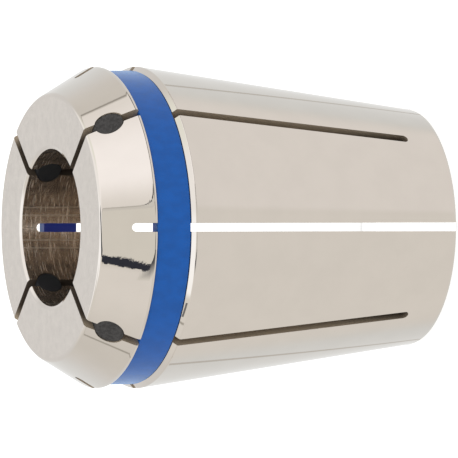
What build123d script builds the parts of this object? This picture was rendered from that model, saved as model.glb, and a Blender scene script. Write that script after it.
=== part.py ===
from build123d import *
import os
from math import cos, radians, sin, tan

# Sealed spring collet with a closed groove ring and four rubber slot seals.
# It stands on its small rear end. Its axis is +Z, its front face is uppermost, and the origin
# is the centre of the rear face. Lengths are in millimetres and angles in degrees.

# Turned form of the steel body, to its sharp corners
overall_length = 40.0
head_diameter = 33.0
taper_angle = 8.0
nose_angle = 30.0
nose_length = 5.2
nose_rim_step = 0.1
groove_width = 3.7
groove_depth = 1.9
bore_diameter = 16.0

# Broken edges of the steel body
bore_front_chamfer_width = 0.35
bore_front_chamfer_depth = 0.15
bore_rear_chamfer = 0.2
face_edge_rounding = 0.5
rim_rounding = 0.35
shoulder_chamfer_width = 0.57
shoulder_chamfer_depth = 0.43
rear_edge_chamfer = 0.25

# Slots cut from each end in turn, with round ends square to the long taper
slot_pairs = 4
slot_width = 0.9
nose_bridge = 1.77
tail_bridge = 4.12

# Closed ring that lies in the groove, a little below the head
ring_recess = 0.5
ring_edge_chamfer = 0.12
ring_side_clearance = 0.05
ring_floor_clearance = 0.02

# Rubber pins that fill a cross hole in each front slot
plug_diameter = 2.65
plug_axis_depth = 2.24
plug_fit_clearance = 0.02
plug_outer_recess = 0.06
plug_inner_recess = 0.05

# Radii and heights that follow from the sizes above
slope = tan(radians(taper_angle))
bore_radius = bore_diameter / 2
head_radius = head_diameter / 2
rim_radius = head_radius + nose_rim_step
face_radius = rim_radius - nose_length * tan(radians(nose_angle))
groove_floor_radius = head_radius - groove_depth
rim_height = overall_length - nose_length
shoulder_height = rim_height - groove_width
rear_radius = head_radius - shoulder_height * slope
chamfer_foot_height = shoulder_height - shoulder_chamfer_depth
chamfer_foot_radius = head_radius - shoulder_chamfer_depth * slope
reach_radius = rim_radius + slot_width

# Directions of the slots: the rear ones lie on the row axes, the front ones between them
slot_pitch = 360 / slot_pairs
front_slot_angle = slot_pitch / 2
half_slot = slot_width / 2
across_taper = (cos(radians(taper_angle)), 0, -sin(radians(taper_angle)))

# Heights at which the line of each slot's end meets the axis
rear_slot_top = overall_length - nose_bridge + bore_radius * slope
tail_radius = rear_radius + tail_bridge * slope
front_slot_foot = tail_bridge + tail_radius * slope


def slot_end_plane(height):
    """The plane on the axis that faces out of a slot, square to the long taper."""
    return Plane(origin=(0, 0, height), x_dir=(0, 1, 0), z_dir=across_taper)


def corner(section, radius, height):
    """The corner of a section that lies at this radius and height."""
    return section.vertices().sort_by_distance((radius, height))[0]


# One rear slot, open at the rear face and closed by a round end behind the front face
rear_end_centre = rear_slot_top - half_slot / cos(radians(taper_angle))
with BuildPart() as rear_slot_cut:
    with BuildSketch(Plane.XZ):
        with BuildLine():
            Polyline(
                (0, rear_end_centre),
                (reach_radius, rear_end_centre - reach_radius * slope),
                (reach_radius, -slot_width),
                (0, -slot_width),
                close=True,
            )
        make_face()
    extrude(amount=half_slot, both=True)
    with BuildSketch(slot_end_plane(rear_end_centre)):
        Circle(half_slot)
    extrude(amount=reach_radius)

# One front slot, open at the front face, with the cross hole that takes its seal plug
front_end_centre = front_slot_foot + half_slot / cos(radians(taper_angle))
plug_height = overall_length - plug_axis_depth
plug_plane = Plane(origin=(0, 0, plug_height), x_dir=(0, 1, 0), z_dir=(1, 0, 0))
with BuildPart() as front_slot_cut:
    with BuildSketch(Plane.XZ):
        with BuildLine():
            Polyline(
                (0, front_end_centre),
                (reach_radius, front_end_centre - reach_radius * slope),
                (reach_radius, overall_length + slot_width),
                (0, overall_length + slot_width),
                close=True,
            )
        make_face()
    extrude(amount=half_slot, both=True)
    with BuildSketch(slot_end_plane(front_end_centre)):
        Circle(half_slot)
    extrude(amount=reach_radius)
    with BuildSketch(plug_plane):
        Circle(plug_diameter / 2 + plug_fit_clearance)
    extrude(amount=reach_radius)

# Steel body, turned in one piece and then slotted from both ends
with BuildPart() as collet_body:
    with BuildSketch(Plane.XZ) as body_section:
        with BuildLine():
            Polyline(
                (bore_radius, 0),
                (rear_radius, 0),
                (chamfer_foot_radius, chamfer_foot_height),
                (head_radius - shoulder_chamfer_width, shoulder_height),
                (groove_floor_radius, shoulder_height),
                (groove_floor_radius, rim_height),
                (rim_radius, rim_height),
                (face_radius, overall_length),
                (bore_radius + bore_front_chamfer_width, overall_length),
                (bore_radius, overall_length - bore_front_chamfer_depth),
                close=True,
            )
        make_face()
        fillet(corner(body_section, rim_radius, rim_height), rim_rounding)
        fillet(corner(body_section, face_radius, overall_length), face_edge_rounding)
        chamfer(corner(body_section, rear_radius, 0), rear_edge_chamfer)
        chamfer(corner(body_section, bore_radius, 0), bore_rear_chamfer)
    revolve(axis=Axis.Z)
    with PolarLocations(0, slot_pairs):
        add(rear_slot_cut.part, mode=Mode.SUBTRACT)
    with PolarLocations(0, slot_pairs, start_angle=front_slot_angle):
        add(front_slot_cut.part, mode=Mode.SUBTRACT)

# Closed ring, turned to lie on the groove's floor with a little play at its sides
ring_bore_radius = groove_floor_radius + ring_floor_clearance
ring_width = groove_width - 2 * ring_side_clearance
ring_wall = head_radius - ring_recess - ring_bore_radius
with BuildPart() as groove_ring:
    with BuildSketch(Plane.XZ) as ring_section:
        with Locations((ring_bore_radius, shoulder_height + ring_side_clearance)):
            Rectangle(ring_wall, ring_width, align=(Align.MIN, Align.MIN))
        chamfer(ring_section.vertices().group_by(Axis.X)[-1], ring_edge_chamfer)
    revolve(axis=Axis.Z)

# One seal plug on the +X side, its ends following the bore and the nose cone
nose_slant = cos(radians(nose_angle))
plug_outer_shift = plug_outer_recess / nose_slant
with BuildPart() as seal_plug:
    with BuildSketch(plug_plane):
        Circle(plug_diameter / 2)
    extrude(amount=reach_radius)
    with BuildSketch(Plane.XZ):
        with BuildLine():
            Polyline(
                (bore_radius + plug_inner_recess, rim_height),
                (rim_radius - plug_outer_shift, rim_height),
                (face_radius - plug_outer_shift, overall_length),
                (bore_radius + plug_inner_recess, overall_length),
                close=True,
            )
        make_face()
    revolve(axis=Axis.Z, mode=Mode.INTERSECT)

os.makedirs("parts", exist_ok=True)

collet_body.part.label = "collet_body"
export_step(collet_body.part, "parts/collet_body.step")

groove_ring.part.label = "groove_ring"
export_step(groove_ring.part, "parts/groove_ring.step")

for number in range(slot_pairs):
    with BuildPart() as placed_plug:
        add(seal_plug.part, rotation=(0, 0, front_slot_angle + number * slot_pitch))
    placed_plug.part.label = f"seal_plug_{number + 1}"
    export_step(placed_plug.part, f"parts/seal_plug_{number + 1}.step")
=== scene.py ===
"""Looks of a sealed spring collet: its ground steel body, groove ring and rubber slot seals.

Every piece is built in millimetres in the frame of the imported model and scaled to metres.
"""

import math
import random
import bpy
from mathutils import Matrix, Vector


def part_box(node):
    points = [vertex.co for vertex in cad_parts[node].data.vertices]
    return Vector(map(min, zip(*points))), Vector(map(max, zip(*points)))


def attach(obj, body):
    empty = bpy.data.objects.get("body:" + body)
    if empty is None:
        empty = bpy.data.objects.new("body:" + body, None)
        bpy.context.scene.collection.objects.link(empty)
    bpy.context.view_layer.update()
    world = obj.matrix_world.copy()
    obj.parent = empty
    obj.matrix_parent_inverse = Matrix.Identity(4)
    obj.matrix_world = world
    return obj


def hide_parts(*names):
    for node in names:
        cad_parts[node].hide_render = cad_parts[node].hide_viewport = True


bl_info = {
    "name": "Sealed spring collet",
    "version": (1, 0, 0),
    "blender": (4, 5, 0),
    "location": "View3D > Sidebar > Collet",
    "description": "Builds a slotted spring collet with a groove ring and round rubber slot seals",
    "category": "Add Mesh",
}

import bmesh
import bpy
import numpy as np
from bpy.props import FloatProperty, FloatVectorProperty, IntProperty, PointerProperty
from mathutils import Matrix, Vector, noise

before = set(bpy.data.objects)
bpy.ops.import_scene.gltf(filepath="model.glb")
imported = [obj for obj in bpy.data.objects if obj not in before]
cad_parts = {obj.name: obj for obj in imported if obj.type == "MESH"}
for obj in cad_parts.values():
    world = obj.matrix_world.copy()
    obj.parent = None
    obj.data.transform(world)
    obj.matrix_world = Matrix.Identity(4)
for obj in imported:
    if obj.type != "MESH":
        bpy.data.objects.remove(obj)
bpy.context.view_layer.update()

MM = 0.001
FULL_TURN = 2 * math.pi
BODY_LOW, BODY_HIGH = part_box("collet_body")
RING_LOW, RING_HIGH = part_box("groove_ring")

# Face marks of the slotted steel body, which are also its material slots
POLISHED, FACED, HONED, SLOTTED = range(4)

# Broken edges of the steel body, in millimetres: the chamfers at the bore's ends, and how far each
# rounding reaches into the two sides of its corner
BORE_REAR_CHAMFER = 0.2
BORE_FRONT_CHAMFER = (0.35, 0.15)
FINE_ROUNDING = 0.06
REAR_ROUNDING = 0.42
RIM_ROUNDING = (0.6, 0.7)
FACE_ROUNDING = 0.3

# Radii from which the slots and the cross holes are cut, and how far their cutters pass the rim,
# in millimetres
REAR_SLOT_START, FRONT_SLOT_START, HOLE_START, CUTTER_MARGIN = 7.2, 1.5, 5, 4

# Flats in a slot's round end, in a cross hole and in a seal, and the height of a seal's ripple in millimetres
BEND_STEPS, ROUND_STEPS = 20, 72
SEAL_RIPPLE = 0.012


class ColletBodySettings(bpy.types.PropertyGroup):
    """Sizes and finish of the steel body"""

    length: FloatProperty(
        name="Length", description="From the rear face to the front face",
        default=BODY_HIGH[2], unit="LENGTH", subtype="DISTANCE")
    head_radius: FloatProperty(
        name="Head radius", description="Radius at the large end of the long taper",
        default=0.0165, unit="LENGTH", subtype="DISTANCE")
    rim_radius: FloatProperty(
        name="Rim radius", description="Sharp radius at the foot of the nose cone",
        default=0.0166, unit="LENGTH", subtype="DISTANCE")
    groove_floor_radius: FloatProperty(
        name="Groove floor radius", description="Radius at the bottom of the ring groove",
        default=0.0146, unit="LENGTH", subtype="DISTANCE")
    bore_radius: FloatProperty(
        name="Bore radius", description="Radius of the hole that grips the shank",
        default=0.008, unit="LENGTH", subtype="DISTANCE")
    shoulder_height: FloatProperty(
        name="Shoulder height", description="Height of the groove's lower side",
        default=0.0311, unit="LENGTH", subtype="DISTANCE")
    shoulder_chamfer: FloatVectorProperty(
        name="Shoulder chamfer", description="Width and depth of the chamfer beside the ring",
        default=(0.00057, 0.00043), size=2, unit="LENGTH")
    rim_height: FloatProperty(
        name="Rim height", description="Height of the groove's upper side",
        default=0.0348, unit="LENGTH", subtype="DISTANCE")
    taper_angle: FloatProperty(
        name="Taper angle", description="Slope of the long taper to the axis",
        default=math.radians(8), unit="ROTATION", subtype="ANGLE")
    nose_angle: FloatProperty(
        name="Nose angle", description="Slope of the nose cone to the axis",
        default=math.radians(30), unit="ROTATION", subtype="ANGLE")
    slot_width: FloatProperty(
        name="Slot width", description="Width of all eight slots",
        default=0.0009, unit="LENGTH", subtype="DISTANCE")
    nose_bridge: FloatProperty(
        name="Nose bridge", description="Steel left between a rear slot and the front face",
        default=0.00177, unit="LENGTH", subtype="DISTANCE")
    tail_bridge: FloatProperty(
        name="Tail bridge", description="Steel left between a front slot and the rear face",
        default=0.00412, unit="LENGTH", subtype="DISTANCE")
    hole_radius: FloatProperty(
        name="Cross hole radius", description="Radius of the holes that take the seals",
        default=0.001345, unit="LENGTH", subtype="DISTANCE")
    hole_depth: FloatProperty(
        name="Cross hole depth", description="From the front face to the middle of a hole",
        default=0.00224, unit="LENGTH", subtype="DISTANCE")
    steps_round: IntProperty(
        name="Steps round", description="Flats in one turn of the body", default=360, min=96)
    colour: FloatVectorProperty(
        name="Steel colour", description="Colour of the polished steel",
        default=(0.62, 0.59, 0.55), size=3, min=0, max=1, subtype="COLOR")
    slot_colour: FloatVectorProperty(
        name="Slot colour", description="Colour of the dark steel inside the slots",
        default=(0.1, 0.078, 0.058), size=3, min=0, max=1, subtype="COLOR")


class GrooveRingSettings(bpy.types.PropertyGroup):
    """Sizes and finish of the ring in the groove"""

    outer_radius: FloatProperty(
        name="Outer radius", description="Radius of the ring's outer wall",
        default=RING_HIGH[0], unit="LENGTH", subtype="DISTANCE")
    inner_radius: FloatProperty(
        name="Inner radius", description="Radius of the ring's inner wall",
        default=0.01462, unit="LENGTH", subtype="DISTANCE")
    rounding: FloatProperty(
        name="Edge rounding", description="Rounding of the ring's outer edges",
        default=0.00013, unit="LENGTH", subtype="DISTANCE")
    steps_round: IntProperty(
        name="Steps round", description="Flats in one turn of the ring", default=288, min=96)
    colour: FloatVectorProperty(
        name="Ring colour", description="Colour of the moulded ring",
        default=(0.001, 0.1, 0.43), size=3, min=0, max=1, subtype="COLOR")


class SealPlugSettings(bpy.types.PropertyGroup):
    """Sizes and finish of the four rubber slot seals"""

    radius: FloatProperty(
        name="Radius", description="Radius of a round seal",
        default=0.001325, unit="LENGTH", subtype="DISTANCE")
    outer_recess: FloatProperty(
        name="Outer recess", description="How far a seal stays below the nose cone",
        default=0.00006, unit="LENGTH", subtype="DISTANCE")
    inner_recess: FloatProperty(
        name="Inner recess", description="How far a seal stays behind the bore wall",
        default=0.00005, unit="LENGTH", subtype="DISTANCE")
    rounding: FloatProperty(
        name="Edge rounding", description="Rounding round both ends of a seal",
        default=0.00012, unit="LENGTH", subtype="DISTANCE")
    colour: FloatVectorProperty(
        name="Rubber colour", description="Colour of the rubber seals",
        default=(0.044, 0.042, 0.041), size=3, min=0, max=1, subtype="COLOR")


class StudioSettings(bpy.types.PropertyGroup):
    """Floor, light and camera"""

    lens: FloatProperty(
        name="Lens", description="Focal length of the camera on a 36 mm sensor, in millimetres",
        default=655.07, unit="CAMERA")
    fill_level: FloatProperty(
        name="Fill level", description="Strength of the even light from all sides",
        default=0.86, min=0)
    key_power: FloatProperty(
        name="Key power", description="Power of the large soft lamp above the camera",
        default=1.6, min=0, unit="POWER")
    floor_colour: FloatVectorProperty(
        name="Floor colour", description="Colour of the pale floor",
        default=(0.82, 0.82, 0.81), size=3, min=0, max=1, subtype="COLOR")


class NodeBench:
    """Adds and links shader nodes with few words"""

    def __init__(self, tree):
        self.tree = tree

    def add(self, kind, inputs=None, **values):
        node = self.tree.nodes.new(kind)
        for name, value in values.items():
            setattr(node, name, value)
        for name, value in (inputs or {}).items():
            self.put(node.inputs[name], value)
        return node

    def put(self, socket, value):
        if isinstance(value, bpy.types.NodeSocket):
            self.tree.links.new(value, socket)
        else:
            socket.default_value = value

    def sum(self, operation, *values, clamp=False):
        node = self.add("ShaderNodeMath", operation=operation, use_clamp=clamp)
        for socket, value in zip(node.inputs, values):
            self.put(socket, value)
        return node.outputs[0]

    def ramp(self, value, low, high, to_low=0.0, to_high=1.0):
        node = self.add("ShaderNodeMapRange", interpolation_type="SMOOTHSTEP")
        for socket, number in zip(node.inputs, (value, low, high, to_low, to_high)):
            self.put(socket, number)
        return node.outputs[0]

    def blend(self, share, first, second):
        node = self.add("ShaderNodeMix", data_type="RGBA")
        self.put(node.inputs[0], share)
        self.put(node.inputs[6], first)
        self.put(node.inputs[7], second)
        return node.outputs[2]

    def noise(self, vector, scale, detail=2.0, roughness=0.5):
        node = self.add("ShaderNodeTexNoise", {
            "Vector": vector, "Scale": scale, "Detail": detail, "Roughness": roughness})
        return node.outputs[0]


def opaque(colour):
    return (*colour, 1.0)


def new_material(name):
    material = bpy.data.materials.new(name)
    material.use_nodes = True
    material.node_tree.nodes.clear()
    bench = NodeBench(material.node_tree)
    shader = bench.add("ShaderNodeBsdfPrincipled")
    output = bench.add("ShaderNodeOutputMaterial")
    bench.put(output.inputs["Surface"], shader.outputs[0])
    return material, bench, shader


def round_coordinates(bench, along, around):
    """Coordinates that run along the collet's axis and round it, in millimetres times a scale."""
    place = bench.add("ShaderNodeTexCoord").outputs["Object"]
    parts = bench.add("ShaderNodeSeparateXYZ", {"Vector": place})
    x, y, z = parts.outputs
    radius = bench.sum("SQRT", bench.sum("ADD", bench.sum("MULTIPLY", x, x), bench.sum("MULTIPLY", y, y)))
    around_x = bench.sum("MULTIPLY", bench.sum("DIVIDE", x, radius), around)
    around_y = bench.sum("MULTIPLY", bench.sum("DIVIDE", y, radius), around)
    along_axis = bench.sum("MULTIPLY", bench.sum("ADD", z, radius), along / MM)
    return bench.add("ShaderNodeCombineXYZ", {"X": around_x, "Y": around_y, "Z": along_axis}).outputs[0]


def even_coordinates(bench):
    """Coordinates in millimetres."""
    place = bench.add("ShaderNodeTexCoord").outputs["Object"]
    scaled = bench.add("ShaderNodeVectorMath", operation="SCALE")
    bench.put(scaled.inputs[0], place)
    scaled.inputs["Scale"].default_value = 1 / MM
    return scaled.outputs[0]


def radius_in_mm(bench):
    """Distance from the axis, in millimetres."""
    x, y, _ = bench.add("ShaderNodeSeparateXYZ", {"Vector": even_coordinates(bench)}).outputs
    squares = bench.sum("ADD", bench.sum("MULTIPLY", x, x), bench.sum("MULTIPLY", y, y))
    return bench.sum("SQRT", squares)


def bump(bench, shader, height, strength, distance):
    node = bench.add("ShaderNodeBump", {"Height": height, "Strength": strength, "Distance": distance})
    bench.put(shader.inputs["Normal"], node.outputs[0])


def polished_steel(colour):
    """Ground and polished steel with faint grinding lines round the axis."""
    material, bench, shader = new_material("collet_steel_polished")
    cloud = bench.noise(even_coordinates(bench), 0.35, 3.0)
    lines = bench.noise(round_coordinates(bench, 9.0, 14.0), 1.0, 3.0, 0.6)
    tint = bench.ramp(cloud, 0.3, 0.7)
    dimmer = [part * 0.975 for part in colour]
    bench.put(shader.inputs["Base Color"], bench.blend(tint, opaque(dimmer), opaque(colour)))
    bench.put(shader.inputs["Roughness"], bench.ramp(lines, 0.3, 0.7, 0.015, 0.03))
    shader.inputs["Metallic"].default_value = 1.0
    bump(bench, shader, lines, 0.05, 0.00002)
    return material


def faced_steel(colour):
    """The front face, turned and then ground to an even satin."""
    material, bench, shader = new_material("collet_steel_faced")
    cloud = bench.noise(even_coordinates(bench), 0.9, 6.0, 0.74)
    grain = bench.noise(round_coordinates(bench, 12.0, 20.0), 1.0, 3.0, 0.6)
    lighter = [part * 1.05 for part in colour]
    dimmer = [part * 0.96 for part in colour]
    tint = bench.ramp(cloud, 0.3, 0.7)
    bench.put(shader.inputs["Base Color"], bench.blend(tint, opaque(dimmer), opaque(lighter)))
    bench.put(shader.inputs["Roughness"], bench.ramp(grain, 0.3, 0.7, 0.17, 0.23))
    shader.inputs["Metallic"].default_value = 1.0
    bump(bench, shader, grain, 0.08, 0.00002)
    return material


def honed_steel(colour):
    """The bore, honed, with fine scratches round it and rubbed lines beside the rear slots."""
    material, bench, shader = new_material("collet_steel_bore")
    rings = bench.noise(round_coordinates(bench, 3.4, 3.5), 1.0, 6.0, 0.8)
    scratches = bench.noise(round_coordinates(bench, 8.0, 4.5), 1.0, 2.0, 0.6)
    scratched = bench.ramp(scratches, 0.5, 0.69)
    x, y, _ = bench.add("ShaderNodeSeparateXYZ", {"Vector": even_coordinates(bench)}).outputs
    quarters = bench.sum("DIVIDE", bench.sum("ARCTAN2", y, x), math.pi / 2)
    beside = bench.sum("SUBTRACT", bench.sum("FRACT", bench.sum("ADD", quarters, 4.5)), 0.5)
    beside = bench.sum("MULTIPLY", bench.sum("ABSOLUTE", beside), 90.0)
    lines = bench.ramp(beside, 0.3, 0.7, 1.0, 0.0)
    for place in (9.0, 15.0):
        away = bench.sum("ABSOLUTE", bench.sum("SUBTRACT", beside, place))
        lines = bench.sum("MAXIMUM", lines, bench.ramp(away, 0.3, 1.0, 1.0, 0.0))
    colour = [part * share for part, share in zip(colour, (1.4, 1.32, 1.245))]
    deeper = [part * 0.74 for part in colour]
    tint = bench.ramp(rings, 0.42, 0.58)
    bench.put(shader.inputs["Base Color"], bench.blend(tint, opaque(deeper), opaque(colour)))
    rubbed = bench.sum("MAXIMUM", scratched, lines)
    bench.put(shader.inputs["Roughness"], bench.ramp(rubbed, 0.0, 1.0, 0.1, 0.31))
    shader.inputs["Metallic"].default_value = 0.97
    bump(bench, shader, bench.sum("ADD", rings, scratched), 0.34, 0.000025)
    return material


def slotted_steel(colour):
    """The dark, matt walls that wire cutting leaves in the slots, with painted light that turns them tan
    towards the slots' outer ends.
    """
    material, bench, shader = new_material("collet_steel_slots")
    pits = bench.noise(even_coordinates(bench), 9.0, 4.0, 0.7)
    lighter = [part * 1.5 for part in colour]
    dark = bench.blend(bench.ramp(pits, 0.35, 0.7), opaque(colour), opaque(lighter))
    # painted light: the walls turn tan towards the outer ends of the slots, where light falls in
    outward = bench.ramp(radius_in_mm(bench), 11.6, 13.6)
    bench.put(shader.inputs["Base Color"], bench.blend(outward, dark, (0.5, 0.42, 0.32, 1.0)))
    bench.put(shader.inputs["Roughness"], bench.ramp(pits, 0.3, 0.7, 0.5, 0.65))
    shader.inputs["Metallic"].default_value = 0.6
    bump(bench, shader, pits, 0.3, 0.00003)
    return material


def ring_polymer(colour):
    """Moulded blue polymer with a fine satin grain, and a painted blue glow on its inner wall that fades out
    towards its outer wall, in place of light in the dark groove.
    """
    material, bench, shader = new_material("ring_polymer_blue")
    grain = bench.noise(even_coordinates(bench), 7.0, 4.0, 0.6)
    cloud = bench.noise(round_coordinates(bench, 0.7, 18.0), 1.0, 3.0)
    deeper = [part * 0.86 for part in colour]
    tint = bench.ramp(cloud, 0.3, 0.7)
    bench.put(shader.inputs["Base Color"], bench.blend(tint, opaque(deeper), opaque(colour)))
    bench.put(shader.inputs["Roughness"], bench.ramp(grain, 0.3, 0.7, 0.2, 0.27))
    shader.inputs["IOR"].default_value = 1.36
    shader.inputs["Sheen Weight"].default_value = 0.68
    shader.inputs["Sheen Roughness"].default_value = 0.35
    shader.inputs["Sheen Tint"].default_value = (0.27, 0.56, 1.0, 1.0)
    # painted light: the inner wall glows blue, fading to nothing towards the outer wall, in place of light
    # that doesn't reach the groove
    shader.inputs["Emission Color"].default_value = (0.01, 0.012, 0.085, 1.0)
    bench.put(shader.inputs["Emission Strength"], bench.ramp(radius_in_mm(bench), 14.7, 15.9, 1.0, 0.0))
    bump(bench, shader, grain, 0.12, 0.00003)
    return material


def seal_rubber(colour):
    """Dark matt rubber, mottled and a little rough where it was trimmed, with painted shade that turns the
    ends inside the bore near black.
    """
    material, bench, shader = new_material("seal_rubber_grey")
    place = even_coordinates(bench)
    mottle = bench.noise(place, 3.2, 5.0, 0.7)
    grit = bench.noise(place, 16.0, 3.0, 0.6)
    darker, lighter = [part * 0.6 for part in colour], [part * 1.45 for part in colour]
    outside = bench.blend(bench.ramp(mottle, 0.33, 0.67), opaque(darker), opaque(lighter))
    # painted shade: near black on the inner ends in the bore, the mottled colour on the outer ends
    outward = bench.ramp(radius_in_mm(bench), 8.6, 9.6)
    bench.put(shader.inputs["Base Color"], bench.blend(outward, (0.008, 0.009, 0.011, 1.0), outside))
    bench.put(shader.inputs["Roughness"], bench.ramp(grit, 0.3, 0.7, 0.6, 0.8))
    shader.inputs["IOR"].default_value = 1.38
    bump(bench, shader, bench.sum("ADD", mottle, grit), 0.35, 0.00004)
    return material


class Run:
    """One straight run or rounding of a turned section, as points with their outward normals."""

    def __init__(self, points, normals, finish):
        self.points = np.array(points, dtype=float)
        self.normals = np.array(normals, dtype=float)
        self.finish = finish


def unit(vector):
    return vector / np.linalg.norm(vector)


def straight_run(start, end, rows, finish):
    along = unit(end - start)
    outward = (along[1], -along[0])
    shares = np.linspace(0, 1, rows + 1)
    return Run([start + (end - start) * share for share in shares], [outward] * len(shares), finish)


def eased_run(start, corner, end, rows, finish):
    """A rounding that eases in and out, so that what it mirrors bends without a kink."""
    points, normals = [], []
    for share in np.linspace(0, 1, rows + 1):
        points.append((1 - share) ** 2 * start + 2 * share * (1 - share) * corner + share**2 * end)
        along = unit((1 - share) * (corner - start) + share * (end - corner))
        normals.append((along[1], -along[0]))
    return Run(points, normals, finish)


def section_runs(corners):
    """Runs of a closed section from (radius, height, cut before, cut after, finish after, rows after)."""
    places = [np.array(corner[:2], dtype=float) for corner in corners]
    count = len(places)
    runs = []
    for index, (place, corner) in enumerate(zip(places, corners)):
        after = places[(index + 1) % count]
        next_cut = corners[(index + 1) % count][2]
        heading = unit(after - place)
        if corner[2] > 0:
            back = unit(place - places[index - 1])
            runs.append(eased_run(place - back * corner[2], place, place + heading * corner[3], 10, POLISHED))
        start = place + heading * (corner[3] if corner[2] > 0 else 0)
        runs.append(straight_run(start, after - heading * next_cut, corner[5], corner[4]))
    return runs


def revolve(name, runs, steps):
    """A mesh turned about +Z from the runs of a closed section, in millimetres."""
    section = []
    for run in runs:
        section.extend(tuple(point) for point in run.points[:-1])
    work = bmesh.new()
    rows = []
    for step in range(steps):
        angle = FULL_TURN * (step + 0.5) / steps
        rows.append([work.verts.new((radius * math.cos(angle), radius * math.sin(angle), height))
                     for radius, height in section])
    for step, row in enumerate(rows):
        following = rows[(step + 1) % steps]
        for place in range(len(section)):
            ahead = (place + 1) % len(section)
            work.faces.new((row[place], following[place], following[ahead], row[ahead]))
    bmesh.ops.recalc_face_normals(work, faces=work.faces[:])
    mesh = bpy.data.meshes.new(name)
    work.to_mesh(mesh)
    work.free()
    return mesh


def add_object(name, mesh):
    piece = bpy.data.objects.new(name, mesh)
    bpy.context.scene.collection.objects.link(piece)
    return piece


def add_prism(work, outline, start, heading, side, up, reach, mark):
    """A prism from an outline of (side, up) points, pushed from start along heading."""
    near = [work.verts.new(start + side * across + up * rise) for across, rise in outline]
    far = [work.verts.new(vertex.co + heading * reach) for vertex in near]
    faces = [work.faces.new(near[::-1]), work.faces.new(far)]
    for index, vertex in enumerate(near):
        ahead = (index + 1) % len(near)
        faces.append(work.faces.new((vertex, near[ahead], far[ahead], far[index])))
    for face in faces:
        face.material_index = mark


def cutter(name, prisms, turns):
    """The same prisms at several turns about the axis, as one cutting object."""
    work = bmesh.new()
    for turn in turns:
        spin = Matrix.Rotation(turn, 3, "Z")
        for outline, start, heading, up, reach in prisms:
            side = spin @ Vector((0, 1, 0))
            add_prism(work, outline, spin @ start, spin @ heading, side, spin @ up, reach, SLOTTED)
    bmesh.ops.recalc_face_normals(work, faces=work.faces[:])
    mesh = bpy.data.meshes.new(name)
    work.to_mesh(mesh)
    work.free()
    return add_object(name, mesh)


def slot_outline(half, closed_end, open_end):
    """A slot's outline: a round end whose centre is at closed_end, and straight sides to open_end."""
    toward = 1 if closed_end > open_end else -1
    bend = []
    for step in range(BEND_STEPS + 1):
        angle = math.pi * step / BEND_STEPS
        bend.append((half * math.cos(angle), closed_end + toward * half * math.sin(angle)))
    return [(half, open_end), *bend, (-half, open_end)]


def cut_with(body, tool):
    """Takes the tool away from the body and deletes the tool."""
    for material in body.data.materials:
        tool.data.materials.append(material)
    modifier = body.modifiers.new("cut", "BOOLEAN")
    modifier.operation = "DIFFERENCE"
    modifier.solver = "EXACT"
    modifier.object = tool
    depsgraph = bpy.context.evaluated_depsgraph_get()
    result = bpy.data.meshes.new_from_object(body.evaluated_get(depsgraph))
    body.modifiers.remove(modifier)
    old = body.data
    body.data = result
    bpy.data.meshes.remove(old)
    bpy.data.objects.remove(tool)
    if len(result.polygons) < 1000:
        raise RuntimeError("a cut left no body")


def nearest_run(centres, runs):
    """For each (radius, height), the index of the nearest run of the section."""
    best = np.full(len(centres), np.inf)
    found = np.zeros(len(centres), dtype=int)
    for index, run in enumerate(runs):
        for start, end in zip(run.points[:-1], run.points[1:]):
            along = end - start
            share = np.clip(((centres - start) @ along) / (along @ along), 0, 1)
            gap = np.linalg.norm(centres - start - share[:, None] * along, axis=1)
            closer = gap < best - 1e-9
            best[closer] = gap[closer]
            found[closer] = index
    return found


def run_normals(run, places):
    """Outward normals of a run at (radius, height) places, blended between its points."""
    if len(run.points) == 2 or np.allclose(run.normals, run.normals[0]):
        return np.tile(run.normals[0], (len(places), 1))
    gaps = np.linalg.norm(places[:, None, :] - run.points[None, :, :], axis=2)
    order = np.argsort(gaps, axis=1)[:, :2]
    rows = np.arange(len(places))
    first, second = gaps[rows, order[:, 0]], gaps[rows, order[:, 1]]
    share = (first / np.maximum(first + second, 1e-12))[:, None]
    mixed = run.normals[order[:, 0]] * (1 - share) + run.normals[order[:, 1]] * share
    return mixed / np.linalg.norm(mixed, axis=1)[:, None]


def finish_turned(mesh, runs):
    """Gives each face that the section made its finish, and exact normals to all corners."""
    faces = len(mesh.polygons)
    centres = np.empty(faces * 3)
    marks = np.empty(faces, dtype=np.int32)
    totals = np.empty(faces, dtype=np.int32)
    flats = np.empty(faces * 3)
    mesh.polygons.foreach_get("center", centres)
    mesh.polygons.foreach_get("material_index", marks)
    mesh.polygons.foreach_get("loop_total", totals)
    mesh.polygons.foreach_get("normal", flats)
    centres, flats = centres.reshape(-1, 3), flats.reshape(-1, 3)
    corners = np.empty(len(mesh.loops), dtype=np.int32)
    mesh.loops.foreach_get("vertex_index", corners)
    places = np.empty(len(mesh.vertices) * 3)
    mesh.vertices.foreach_get("co", places)
    places = places.reshape(-1, 3)

    section = np.stack([np.hypot(centres[:, 0], centres[:, 1]), centres[:, 2]], axis=1)
    found = nearest_run(section, runs)
    found[marks == SLOTTED] = -1
    owner = np.repeat(np.arange(faces), totals)
    corner_run = found[owner]
    normals = flats[owner].copy()
    here = places[corners]
    radii = np.hypot(here[:, 0], here[:, 1])
    for index, run in enumerate(runs):
        chosen = corner_run == index
        if not chosen.any():
            continue
        flat = run_normals(run, np.stack([radii[chosen], here[chosen, 2]], axis=1))
        outward = here[chosen, :2] / radii[chosen, None]
        normals[chosen] = np.concatenate([outward * flat[:, :1], flat[:, 1:]], axis=1)
        marks[found == index] = run.finish
    mesh.polygons.foreach_set("material_index", marks)
    mesh.shade_smooth()
    mesh.normals_split_custom_set([tuple(normal) for normal in normals])


def to_metres(mesh):
    mesh.transform(Matrix.Scale(MM, 4))
    mesh.update()


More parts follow.
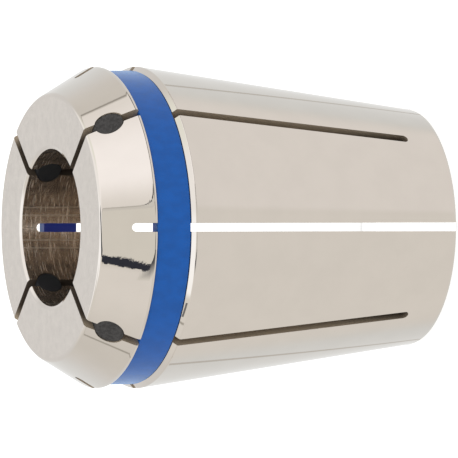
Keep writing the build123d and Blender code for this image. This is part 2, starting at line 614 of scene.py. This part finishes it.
def body_sizes(settings):
    """The body's sizes in millimetres, by name."""
    names = ("length", "head_radius", "rim_radius", "groove_floor_radius", "bore_radius", "shoulder_height",
             "rim_height", "slot_width", "nose_bridge", "tail_bridge", "hole_radius", "hole_depth")
    sizes = {name: getattr(settings, name) / MM for name in names}
    sizes["chamfer_width"], sizes["chamfer_depth"] = (part / MM for part in settings.shoulder_chamfer)
    sizes["slope"] = math.tan(settings.taper_angle)
    sizes["nose_slope"] = math.tan(settings.nose_angle)
    sizes["rear_radius"] = sizes["head_radius"] - sizes["shoulder_height"] * sizes["slope"]
    sizes["face_radius"] = sizes["rim_radius"] - (sizes["length"] - sizes["rim_height"]) * sizes["nose_slope"]
    return sizes


def body_section(s):
    """Section of the body, counter-clockwise in (radius, height), with its broken edges."""
    bore, length = s["bore_radius"], s["length"]
    fine = (FINE_ROUNDING, FINE_ROUNDING)
    front_width, front_depth = BORE_FRONT_CHAMFER
    return section_runs([
        (bore, BORE_REAR_CHAMFER, *fine, POLISHED, 1),
        (bore + BORE_REAR_CHAMFER, 0.0, *fine, FACED, 6),
        (s["rear_radius"], 0.0, REAR_ROUNDING, REAR_ROUNDING, POLISHED, 16),
        (s["head_radius"] - s["chamfer_depth"] * s["slope"], s["shoulder_height"] - s["chamfer_depth"],
         0.13, 0.11, POLISHED, 2),
        (s["head_radius"] - s["chamfer_width"], s["shoulder_height"], *fine, POLISHED, 2),
        (s["groove_floor_radius"], s["shoulder_height"], 0, 0, POLISHED, 2),
        (s["groove_floor_radius"], s["rim_height"], 0, 0, POLISHED, 2),
        (s["rim_radius"], s["rim_height"], *RIM_ROUNDING, POLISHED, 8),
        (s["face_radius"], length, FACE_ROUNDING, FACE_ROUNDING, FACED, 10),
        (bore + front_width, length, *fine, POLISHED, 1),
        (bore, length - front_depth, 0.05, 0.05, HONED, 16),
    ])


class MESH_OT_add_collet_body(bpy.types.Operator):
    """Turn the steel body, slot it from both ends and drill it for the seals"""

    bl_idname = "mesh.add_collet_body"
    bl_label = "Collet body"
    bl_options = {"REGISTER", "UNDO"}

    def execute(self, context):
        settings = context.scene.collet_body
        s = body_sizes(settings)
        runs = body_section(s)
        body = add_object("collet_body_slotted", revolve("collet_body_slotted", runs, settings.steps_round))
        for material in (polished_steel(settings.colour), faced_steel(settings.colour),
                         honed_steel(settings.colour), slotted_steel(settings.slot_colour)):
            body.data.materials.append(material)

        half = s["slot_width"] / 2
        angle = settings.taper_angle
        heading = Vector((math.cos(angle), 0, -math.sin(angle)))
        up = Vector((math.sin(angle), 0, math.cos(angle)))
        rear_end = s["length"] - s["nose_bridge"] + s["bore_radius"] * s["slope"] - half / math.cos(angle)
        tail_radius = s["rear_radius"] + s["tail_bridge"] * s["slope"]
        front_end = s["tail_bridge"] + tail_radius * s["slope"] + half / math.cos(angle)
        quarter = [FULL_TURN * index / 4 for index in range(4)]
        between = [turn + FULL_TURN / 8 for turn in quarter]
        reach = s["rim_radius"] + CUTTER_MARGIN

        from_rear = Vector((0, 0, rear_end)) + heading * REAR_SLOT_START
        rear_slot = (slot_outline(half, 0, -rear_end * 1.2), from_rear, heading, up, reach)
        from_front = Vector((0, 0, front_end)) + heading * FRONT_SLOT_START
        front_slot = (slot_outline(half, 0, s["length"]), from_front, heading, up, reach)
        circle = []
        for step in range(ROUND_STEPS):
            turn = FULL_TURN * step / ROUND_STEPS
            circle.append((s["hole_radius"] * math.cos(turn), s["hole_radius"] * math.sin(turn)))
        from_axis = Vector((HOLE_START, 0, s["length"] - s["hole_depth"]))
        cross_hole = (circle, from_axis, Vector((1, 0, 0)), Vector((0, 0, 1)), reach)
        cut_with(body, cutter("rear_slots", [rear_slot], quarter))
        cut_with(body, cutter("front_slots", [front_slot], between))
        cut_with(body, cutter("cross_holes", [cross_hole], between))

        finish_turned(body.data, runs)
        to_metres(body.data)
        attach(body, "root")
        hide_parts("collet_body")
        return {"FINISHED"}


class MESH_OT_add_groove_ring(bpy.types.Operator):
    """Turn the closed ring that lies in the groove behind the nose"""

    bl_idname = "mesh.add_groove_ring"
    bl_label = "Groove ring"
    bl_options = {"REGISTER", "UNDO"}

    def execute(self, context):
        settings = context.scene.groove_ring
        inner, outer = settings.inner_radius / MM, settings.outer_radius / MM
        low, high = RING_LOW[2] / MM, RING_HIGH[2] / MM
        edge, inner_edge = settings.rounding / MM, 0.06
        runs = section_runs([
            (inner, low, inner_edge, inner_edge, 0, 2),
            (outer, low, edge, edge, 0, 8),
            (outer, high, edge, edge, 0, 2),
            (inner, high, inner_edge, inner_edge, 0, 4),
        ])
        ring = add_object("groove_ring_moulded", revolve("groove_ring_moulded", runs, settings.steps_round))
        ring.data.materials.append(ring_polymer(settings.colour))
        finish_turned(ring.data, runs)
        to_metres(ring.data)
        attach(ring, "root")
        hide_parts("groove_ring")
        return {"FINISHED"}


def plug_end(work, settings, surface, middle, sign, rows, sides):
    """One end of a seal: rings of vertices that follow a surface and round off at the edge."""
    radius, rounding = settings.radius / MM, settings.rounding / MM
    rings = []
    for row in range(1, rows + 1):
        share = row / rows
        across = radius * share
        inside = max(0.0, across - (radius - rounding)) / rounding
        drop = rounding * (1 - math.sqrt(max(0.0, 1 - inside**2)))
        ring = []
        for side in range(sides):
            angle = FULL_TURN * side / sides
            y, z = across * math.cos(angle), middle + across * math.sin(angle)
            ripple = SEAL_RIPPLE * noise.noise(Vector((y * 1.7, z * 1.7, 3.1 * sign)))
            ring.append(work.verts.new((surface(y, z) + sign * (ripple - drop), y, z)))
        rings.append(ring)
    hub = work.verts.new((surface(0.0, middle), 0.0, middle))
    for side in range(sides):
        ahead = (side + 1) % sides
        work.faces.new((hub, rings[0][side], rings[0][ahead]))
        for inner, outer in zip(rings[:-1], rings[1:]):
            work.faces.new((inner[side], outer[side], outer[ahead], inner[ahead]))
    return rings[-1]


def seal_mesh(name, body, settings, turn):
    """A rubber seal whose ends follow the nose cone and the bore, turned to its slot."""
    middle = body["length"] - body["hole_depth"]
    tilt = math.atan(body["nose_slope"])
    cone_shift = settings.outer_recess / MM / math.cos(tilt)

    def cone(y, z):
        radius = body["face_radius"] + (body["length"] - z) * body["nose_slope"] - cone_shift
        return math.sqrt(radius**2 - y**2)

    def bore(y, z):
        return math.sqrt((body["bore_radius"] + settings.inner_recess / MM) ** 2 - y**2)

    work = bmesh.new()
    sides, end_rows, rows = ROUND_STEPS, 22, 5
    outer = plug_end(work, settings, cone, middle, 1, end_rows, sides)
    inner = plug_end(work, settings, bore, middle, -1, end_rows, sides)
    walls = [inner]
    for row in range(1, rows):
        share = row / rows
        walls.append([work.verts.new(near.co.lerp(far.co, share)) for near, far in zip(inner, outer)])
    walls.append(outer)
    for lower, upper in zip(walls[:-1], walls[1:]):
        for side in range(sides):
            ahead = (side + 1) % sides
            work.faces.new((lower[side], lower[ahead], upper[ahead], upper[side]))
    bmesh.ops.recalc_face_normals(work, faces=work.faces[:])
    for face in work.faces:
        face.smooth = True
    bmesh.ops.rotate(work, verts=work.verts[:], cent=(0, 0, 0), matrix=Matrix.Rotation(turn, 3, "Z"))
    mesh = bpy.data.meshes.new(name)
    work.to_mesh(mesh)
    work.free()
    return mesh


class MESH_OT_add_seal_plugs(bpy.types.Operator):
    """Make the four rubber seals that fill the cross holes of the front slots"""

    bl_idname = "mesh.add_seal_plugs"
    bl_label = "Seal plugs"
    bl_options = {"REGISTER", "UNDO"}

    def execute(self, context):
        settings = context.scene.seal_plugs
        body = body_sizes(context.scene.collet_body)
        rubber = seal_rubber(settings.colour)
        for index in range(4):
            turn = FULL_TURN / 8 + FULL_TURN * index / 4
            name = f"seal_plug_{index + 1}_rubber"
            plug = add_object(name, seal_mesh(name, body, settings, turn))
            plug.data.materials.append(rubber)
            to_metres(plug.data)
            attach(plug, "root")
            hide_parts(f"seal_plug_{index + 1}")
        return {"FINISHED"}


def studio_world(settings):
    """Even white light, and for the steel to mirror, the soft panels of a light tent."""
    world = bpy.data.worlds.new("light_tent")
    world.use_nodes = True
    world.node_tree.nodes.clear()
    bench = NodeBench(world.node_tree)
    heading = bench.add("ShaderNodeTexCoord").outputs["Generated"]
    x, y, z = bench.add("ShaderNodeSeparateXYZ", {"Vector": heading}).outputs
    azimuth = bench.sum("MULTIPLY", bench.sum("ARCTAN2", x, bench.sum("MULTIPLY", y, -1.0)), 180 / math.pi)
    height = bench.sum("MULTIPLY", bench.sum("ARCSINE", z), 180 / math.pi)

    def span(value, low, low_fade, high, high_fade):
        rise = bench.ramp(value, low - low_fade / 2, low + low_fade / 2)
        fall = bench.ramp(value, high - high_fade / 2, high + high_fade / 2, 1.0, 0.0)
        return bench.sum("MULTIPLY", rise, fall)

    def window(azimuths, heights):
        return bench.sum("MULTIPLY", span(azimuth, *azimuths), span(height, *heights))

    def lay(share, under, over):
        return bench.blend(share, under, opaque(over))

    aside = bench.sum("ABSOLUTE", azimuth)
    low = lay(bench.ramp(aside, 95, 130), opaque((0.95, 0.905, 0.85)), (0.945, 0.95, 0.945))
    high = lay(bench.ramp(aside, 112, 150), opaque((0.905, 0.865, 0.815)), (0.945, 0.925, 0.915))
    light = bench.blend(bench.ramp(height, -6, 6), low, high)
    light = lay(window((14, 10, 112, 20), (-80, 10, -6, 6)), light, (1.07, 1.02, 0.985))
    light = lay(window((-110, 30, 14, 10), (-80, 10, -6, 6)), light, (1.01, 0.965, 0.915))
    light = lay(window((-84, 60, -34, 8), (4, 8, 100, 8)), light, (1.07, 1.02, 0.97))
    light = lay(window((-34, 1.5, 15, 1.0), (3, 8, 100, 8)), light, (0.985, 0.945, 0.872))
    brighter = span(azimuth, 31, 27, 88, 50)
    cream = bench.blend(brighter, opaque((1.13, 1.08, 1.035)), opaque((1.46, 1.41, 1.41)))
    light = bench.blend(window((17.1, 0.8, 106, 1.0), (5, 3, 100, 8)), light, cream)
    tilt = bench.sum("DIVIDE", y, bench.sum("MAXIMUM", z, 0.05))
    overhead = bench.sum("MULTIPLY", bench.ramp(tilt, -0.44, -0.38), bench.ramp(height, 28, 44))
    ceiling = bench.blend(bench.ramp(x, 0.03, 0.16), opaque((1.5, 1.5, 1.52)), opaque((1.34, 1.31, 1.3)))
    ceiling = bench.blend(bench.ramp(x, 0.42, 0.66), ceiling, opaque((1.2, 1.2, 1.1)))
    ceiling = bench.blend(bench.ramp(x, -0.49, -0.44), opaque((1.02, 0.98, 0.92)), ceiling)
    beyond = bench.sum("MULTIPLY", bench.ramp(tilt, 0.06, 0.14), bench.ramp(x, -0.27, -0.17, 1.0, 0.0))
    ceiling = lay(beyond, ceiling, (1.04, 1.0, 0.95))
    ceiling = lay(bench.ramp(tilt, 1.2, 1.7), ceiling, (0.963, 0.98, 1.0))
    light = bench.blend(overhead, light, ceiling)
    dark = (0.05, 0.045, 0.045)
    light = lay(window((16.7, 0.6, 17.7, 0.6), (3, 8, 70, 6)), light, (0.72, 0.69, 0.64))
    light = lay(window((106.9, 0.8, 108.5, 0.8), (-2, 6, 30, 8)), light, (0.5, 0.47, 0.43))
    light = lay(window((10, 8, 106, 8), (-3.5, 3, 3.5, 3)), light, dark)
    light = lay(window((-29, 4, -4, 12), (-5, 4, 5, 4)), light, dark)
    light = lay(window((-102.6, 0.8, -101.2, 0.8), (-2, 6, 60, 6)), light, (0.55, 0.52, 0.47))

    path = bench.add("ShaderNodeLightPath")
    seen = bench.sum("MAXIMUM", path.outputs["Is Camera Ray"], path.outputs["Is Transmission Ray"])
    fill = opaque((settings.fill_level,) * 3)
    mirrored = bench.blend(path.outputs["Is Glossy Ray"], fill, light)
    shown = bench.blend(seen, mirrored, opaque((1.0, 1.0, 1.0)))
    background = bench.add("ShaderNodeBackground", {"Color": shown, "Strength": 1.0})
    output = bench.add("ShaderNodeOutputWorld")
    bench.put(output.inputs["Surface"], background.outputs[0])
    bpy.context.scene.world = world


def pale_floor(settings):
    """A wide floor that shows plain white to the camera and keeps the collet's soft shadow, except under the
    collet's foot, where painted light brightens it away.
    """
    half = 3.0
    cells = 12
    work = bmesh.new()
    bmesh.ops.create_grid(work, x_segments=cells, y_segments=cells, size=half)
    mesh = bpy.data.meshes.new("floor")
    work.to_mesh(mesh)
    work.free()
    floor = add_object("floor", mesh)
    floor.location.z = -0.00002
    floor.visible_glossy = False

    material = bpy.data.materials.new("floor_paper")
    material.use_nodes = True
    material.node_tree.nodes.clear()
    bench = NodeBench(material.node_tree)
    paper = bench.noise(even_coordinates(bench), 0.02, 3.0)
    dimmer = [part * 0.97 for part in settings.floor_colour]
    colour = bench.blend(paper, opaque(dimmer), opaque(settings.floor_colour))
    matt = bench.add("ShaderNodeBsdfDiffuse", {"Color": colour})
    # painted light: under the collet's foot the floor glows stronger to the camera, which hides the shadow
    # seen there through the slots and the bore
    painted_light_under_foot = bench.ramp(radius_in_mm(bench), 11.5, 12.0, 1.0, 0.58)
    glow = bench.add("ShaderNodeEmission", {"Color": (1, 1, 1, 1), "Strength": painted_light_under_foot})
    both = bench.add("ShaderNodeAddShader")
    bench.put(both.inputs[0], matt.outputs[0])
    bench.put(both.inputs[1], glow.outputs[0])
    path = bench.add("ShaderNodeLightPath")
    mixed = bench.add("ShaderNodeMixShader", {"Fac": path.outputs["Is Camera Ray"]})
    bench.put(mixed.inputs[1], matt.outputs[0])
    bench.put(mixed.inputs[2], both.outputs[0])
    output = bench.add("ShaderNodeOutputMaterial")
    bench.put(output.inputs["Surface"], mixed.outputs[0])
    mesh.materials.append(material)


def mirrored_strip(name, places, shades):
    """A strip between rows of points, seen only in what the steel mirrors, from dark (0) to pale (1)."""
    work = bmesh.new()
    shade = work.verts.layers.float.new("shade")
    rows = []
    for row, levels in zip(places, shades):
        rows.append([work.verts.new(place) for place in row])
        for vertex, level in zip(rows[-1], levels):
            vertex[shade] = level
    for lower, upper in zip(rows[:-1], rows[1:]):
        for index in range(len(lower) - 1):
            work.faces.new((lower[index], lower[index + 1], upper[index + 1], upper[index]))
    mesh = bpy.data.meshes.new(name)
    work.to_mesh(mesh)
    work.free()
    strip = add_object(name, mesh)
    strip.visible_camera = strip.visible_diffuse = strip.visible_shadow = False
    strip.visible_transmission = False
    material = bpy.data.materials.new(name + "_felt")
    material.use_nodes = True
    material.node_tree.nodes.clear()
    bench = NodeBench(material.node_tree)
    level = bench.add("ShaderNodeAttribute", attribute_name="shade").outputs["Fac"]
    felt = bench.ramp(bench.noise(even_coordinates(bench), 0.4, 3.0), 0.3, 0.7, 0.75, 1.25)
    felt = bench.blend(felt, (0.0, 0.0, 0.0, 1.0), (0.045, 0.048, 0.066, 1.0))
    shown = bench.blend(level, felt, (1.0, 0.96, 0.9, 1.0))
    glow = bench.add("ShaderNodeEmission", {"Color": shown, "Strength": 1.0})
    output = bench.add("ShaderNodeOutputMaterial")
    bench.put(output.inputs["Surface"], glow.outputs[0])
    mesh.materials.append(material)


def card_frame(azimuth, height, start):
    """Centre and directions of a card that stands 30 mm from a point of the steel and faces it."""
    azimuth, height = math.radians(azimuth), math.radians(height)
    level = math.cos(height)
    heading = Vector((level * math.sin(azimuth), -level * math.cos(azimuth), math.sin(height)))
    across = Vector((0, 0, 1)).cross(heading).normalized()
    return Vector(start) * MM + heading * 0.03, heading, across, heading.cross(across)


def dark_card():
    """A slanting dark card with frayed edges and a folded corner, which the nose mirrors."""
    centre, heading, across, along = card_frame(-29.0, 36.2, (-3.6, -14.6, 37.4))
    draw = random.Random(11)
    places = []
    steps = 34
    for step in range(steps + 1):
        rise = 3.25 - 5.9 * step / steps
        upper = 1.25 - 0.5 * max(0.0, 0.2 - rise) + (step % 2) * draw.uniform(0.4, 1.9)
        upper += draw.uniform(-0.4, 0.3)
        lower = -1.8 - 0.17 * (2.4 - rise) + draw.uniform(-0.5, 0.35)
        pinch = max(0.0, -2.3 - rise) * 3.0
        places.append([centre + (along * rise + across * offset) * MM
                       for offset in (lower + pinch, max(upper - pinch, lower + pinch + 0.05))])
    mirrored_strip("dark_card", places, [(0, 0)] * len(places))
    places, shades = [], []
    for rise, upper, lower, fade, tail in (
            (-2.0, 0.5, -0.4, 0.95, 0.2), (-2.9, 1.5, 0.2, 0.48, 0.18), (-5, 2.5, 1.4, 0.48, 0.14),
            (-8, 3.7, 2.0, 0.48, 0.12), (-12, 5.4, 2.6, 0.48, 0.12), (-16, 7.3, 3.1, 0.48, 0.14),
            (-20, 9.0, 3.4, 0.48, 0.17), (-26, 10.8, 3.8, 0.5, 0.22), (-36, 13, 4.3, 0.55, 0.3),
            (-48, 15, 4.8, 0.6, 0.5)):
        places.append([centre + (heading * 0.4 + along * rise + across * offset) * MM
                       for offset in (lower - 7, lower - 3.2, lower, upper)])
        shades.append([1.05, fade, tail, tail * 0.2])
    mirrored_strip("dark_card_corner", places, shades)


def panel_corner():
    """The round corner of the cream panel, which the foot of the nose cone mirrors."""
    centre, _, across, along = card_frame(18.0, 33.0, (2.4, -15.6, 36.2))
    places, shades = [], []
    for inner, outer, reach, shade in (
            ((-0.2, 2.32), (-0.41, 2.34), (-0.75, 2.34), 0.65),
            ((-0.06, 1.94), (-0.49, 1.97), (-0.8, 1.97), 0.6),
            ((0.13, 1.67), (-0.28, 1.68), (-0.9, 1.6), 0.35),
            ((0.5, 1.44), (0.12, 1.42), (-1.0, 1.2), 0.2),
            ((1.03, 1.21), (0.71, 1.16), (-1.1, 0), 0.1),
            ((1.66, 1.03), (1.39, 0.69), (-1.1, -4), 0.05),
            ((2.45, 0.06), (2.03, -3.77), (-1.0, -9), 0.03),
            ((3.41, -3.17), (3.12, -8.74), (1.5, -14), 0.03),
            ((4.85, -6.27), (4.85, -14.09), (4.6, -16), 0.1),
            ((6.71, -9.09), (7.27, -19.77), (7.2, -21), 0.25),
            ((8.81, -12.16), (10.45, -27.35), (10.4, -28), 0.5)):
        beside = (outer[0] - 0.02, outer[1])
        places.append([centre + (across * side + along * rise) * MM
                       for side, rise in (inner, outer, beside, reach)])
        shades.append([shade, shade, 0.93, 0.93])
    mirrored_strip("panel_corner", places, shades)


def shoulder_mark():
    """A thin grey mark beside the ring, which the shoulder's chamfer mirrors."""
    places = []
    for turn in (33.4, 35.8, 38.2, 40.6):
        away = Vector((-math.sin(math.radians(turn)), -math.cos(math.radians(turn)), 0))
        places.append([away * radius * MM + Vector((0, 0, 34)) * MM for radius in (17.03, 17.24)])
    mirrored_strip("shoulder_mark", places, [(0.22, 0.22)] * 4)


def edge_cord():
    """A dark cord a little above the front face, which the face's rounded edge mirrors."""
    pairs = (
        ((2.78, -13.6), (2.76, -13.5)), ((2.28, -13.66), (2.18, -12.87)),
        ((1.69, -13.94), (1.55, -12.38)), ((0.58, -14.36), (0.52, -12.77)),
        ((-0.59, -14.75), (-0.54, -13.22)), ((-1.88, -15.45), (-1.68, -13.85)),
        ((-2.78, -16.34), (-2.38, -14.28)), ((-3.78, -17.5), (-3.01, -14.73)),
        ((-4.45, -17.45), (-3.7, -15.16)), ((-4.95, -17.37), (-4.46, -16.05)))
    places = [[Vector((across, toward, 43)) * MM for across, toward in pair] for pair in pairs]
    mirrored_strip("edge_cord", places, [(0.03, 0.03)] * len(places))


def panel_seams():
    """Two thin seams of the light tent beside the collet, which the long taper mirrors."""
    for name, first, second in (
            ("seam_right", Vector((0.0598, 0.0313, -0.0028)), Vector((0.0390, 0.0496, -0.0325))),
            ("seam_left", Vector((-0.0637, 0.0247, -0.0050)), Vector((-0.0450, 0.0455, -0.0273)))):
        along = second - first
        first, second = first - along * 0.15, second + along * 0.3
        across = along.cross(Vector((0, 0, 0.01)) - first).normalized() * 0.0011
        places = [[first - across, first + across], [second - across, second + across]]
        mirrored_strip(name, places, [(0.7, 0.7)] * 2)


def key_lamp(settings):
    """A large soft lamp above the camera."""
    lamp = bpy.data.lights.new("key_panel", "AREA")
    lamp.shape = "RECTANGLE"
    lamp.size, lamp.size_y = 0.9, 0.7
    lamp.energy = settings.key_power
    holder = bpy.data.objects.new("key_panel", lamp)
    bpy.context.scene.collection.objects.link(holder)
    holder.location = (0.05, -0.75, 0.62)
    aim = Vector((0, 0, 0.02)) - holder.location
    holder.rotation_euler = aim.to_track_quat("-Z", "Y").to_euler()
    holder.visible_glossy = False


def photo_camera(settings):
    """The camera at the photograph's place, in the plane of two of the rear slots."""
    camera = bpy.data.cameras.new("photo_camera")
    camera.sensor_width = 36.0
    camera.sensor_fit = "AUTO"
    camera.lens = settings.lens
    camera.clip_start, camera.clip_end = 0.05, 20.0
    place = Vector((0.0, -0.78637831, 0.35546542))
    right = Vector((-0.00200327, -0.39219700, -0.91987908))
    up = Vector((0.99999797, -0.00059213, -0.00192533))
    facing = Matrix((right, up, right.cross(up))).transposed().to_4x4()
    holder = bpy.data.objects.new("photo_camera", camera)
    bpy.context.scene.collection.objects.link(holder)
    holder.matrix_world = Matrix.Translation(place) @ facing
    bpy.context.scene.camera = holder


class SCENE_OT_set_collet_studio(bpy.types.Operator):
    """Lay the pale floor and set the light and the camera"""

    bl_idname = "scene.set_collet_studio"
    bl_label = "Studio"
    bl_options = {"REGISTER", "UNDO"}

    def execute(self, context):
        settings = context.scene.collet_studio
        studio_world(settings)
        pale_floor(settings)
        dark_card()
        panel_corner()
        shoulder_mark()
        edge_cord()
        panel_seams()
        key_lamp(settings)
        photo_camera(settings)
        context.scene.view_settings.view_transform = "Standard"
        return {"FINISHED"}


class VIEW3D_PT_sealed_collet(bpy.types.Panel):
    """The collet's sizes, colours and steps"""

    bl_label = "Sealed spring collet"
    bl_space_type = "VIEW_3D"
    bl_region_type = "UI"
    bl_category = "Collet"

    def draw(self, context):
        for group, step in STEPS:
            box = self.layout.box()
            box.operator(step.bl_idname)
            settings = getattr(context.scene, group)
            for name in settings.bl_rna.properties.keys():
                if name not in {"rna_type", "name"}:
                    box.prop(settings, name)


STEPS = (
    ("collet_body", MESH_OT_add_collet_body),
    ("groove_ring", MESH_OT_add_groove_ring),
    ("seal_plugs", MESH_OT_add_seal_plugs),
    ("collet_studio", SCENE_OT_set_collet_studio),
)
SETTINGS = {
    "collet_body": ColletBodySettings,
    "groove_ring": GrooveRingSettings,
    "seal_plugs": SealPlugSettings,
    "collet_studio": StudioSettings,
}
CLASSES = (*SETTINGS.values(), *(step for _, step in STEPS), VIEW3D_PT_sealed_collet)


def register():
    for entry in CLASSES:
        bpy.utils.register_class(entry)
    for name, group in SETTINGS.items():
        setattr(bpy.types.Scene, name, PointerProperty(type=group))


def unregister():
    for name in SETTINGS:
        delattr(bpy.types.Scene, name)
    for entry in reversed(CLASSES):
        bpy.utils.unregister_class(entry)


def main():
    register()
    bpy.ops.mesh.add_collet_body()
    bpy.ops.mesh.add_groove_ring()
    bpy.ops.mesh.add_seal_plugs()
    bpy.ops.scene.set_collet_studio()


if __name__ == "__main__":
    main()
